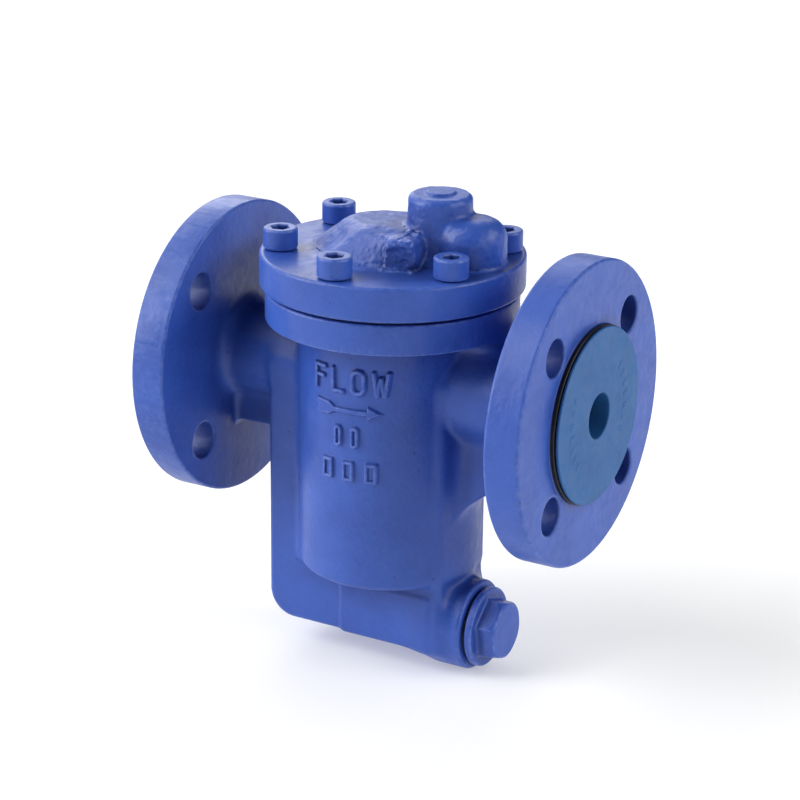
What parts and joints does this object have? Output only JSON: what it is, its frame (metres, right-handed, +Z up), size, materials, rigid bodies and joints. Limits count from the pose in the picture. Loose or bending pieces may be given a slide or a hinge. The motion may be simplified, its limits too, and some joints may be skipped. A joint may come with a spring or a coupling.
{
  "type": "steam trap",
  "caption": "Flanged inverted bucket steam trap: cast body with side inlet duct, bolted cover, drain plug, and inside it a bucket hung on a valve lever.",
  "frame": {"origin": "on the pipe axis, halfway between the two flange faces, where the pipe run holds the trap", "axes": "+X along the pipe from inlet to outlet, +Z up towards the cover, +Y horizontal across the pipe"},
  "size_m": [0.171, 0.115, 0.187],
  "materials": {
    "paint": "semi-gloss blue enamel over a cast surface",
    "protector": "moulded blue plastic",
    "gasket": "graphite fibre sheet",
    "stainless": "pressed stainless steel",
    "hard_steel": "ground hardened steel"
  },
  "bodies": {
    "housing": {"body_casting": "paint", "cover_casting": "paint", "cover_gasket": "gasket", "cap_screw_1": "paint", "cap_screw_2": "paint", "cap_screw_3": "paint", "cap_screw_4": "paint", "cap_screw_5": "paint", "cap_screw_6": "paint", "drain_plug": "paint", "drain_plug_gasket": "gasket", "strainer_screen": "stainless", "riser_tube": "stainless", "outlet_protector": "protector", "inlet_protector": "protector", "valve_seat": "hard_steel", "lever_bracket": "stainless", "bracket_screw_1": "stainless", "bracket_screw_2": "stainless", "pivot_pin": "hard_steel"},
    "lever_arm": {"lever": "stainless", "valve_plug": "hard_steel"},
    "bucket_float": {"bucket": "stainless", "bucket_clip": "stainless", "clip_nut": "stainless"}
  },
  "joints": [
    {"name": "lever_pivot", "type": "hinge", "parent": "housing", "child": "lever_arm", "pos_m": [0.0215, 0, 0.0245], "axis": [0, 1, 0], "range_deg": [0, 10]},
    {"name": "bucket_hang", "type": "hinge", "parent": "lever_arm", "child": "bucket_float", "pos_m": [-0.00191, 0, 0.02245], "axis": [0, 1, 0], "range_deg": [-10, 0]}
  ],
  "couplings": [
    {"joint": "bucket_hang", "follows": "lever_pivot", "ratio": -1}
  ]
}
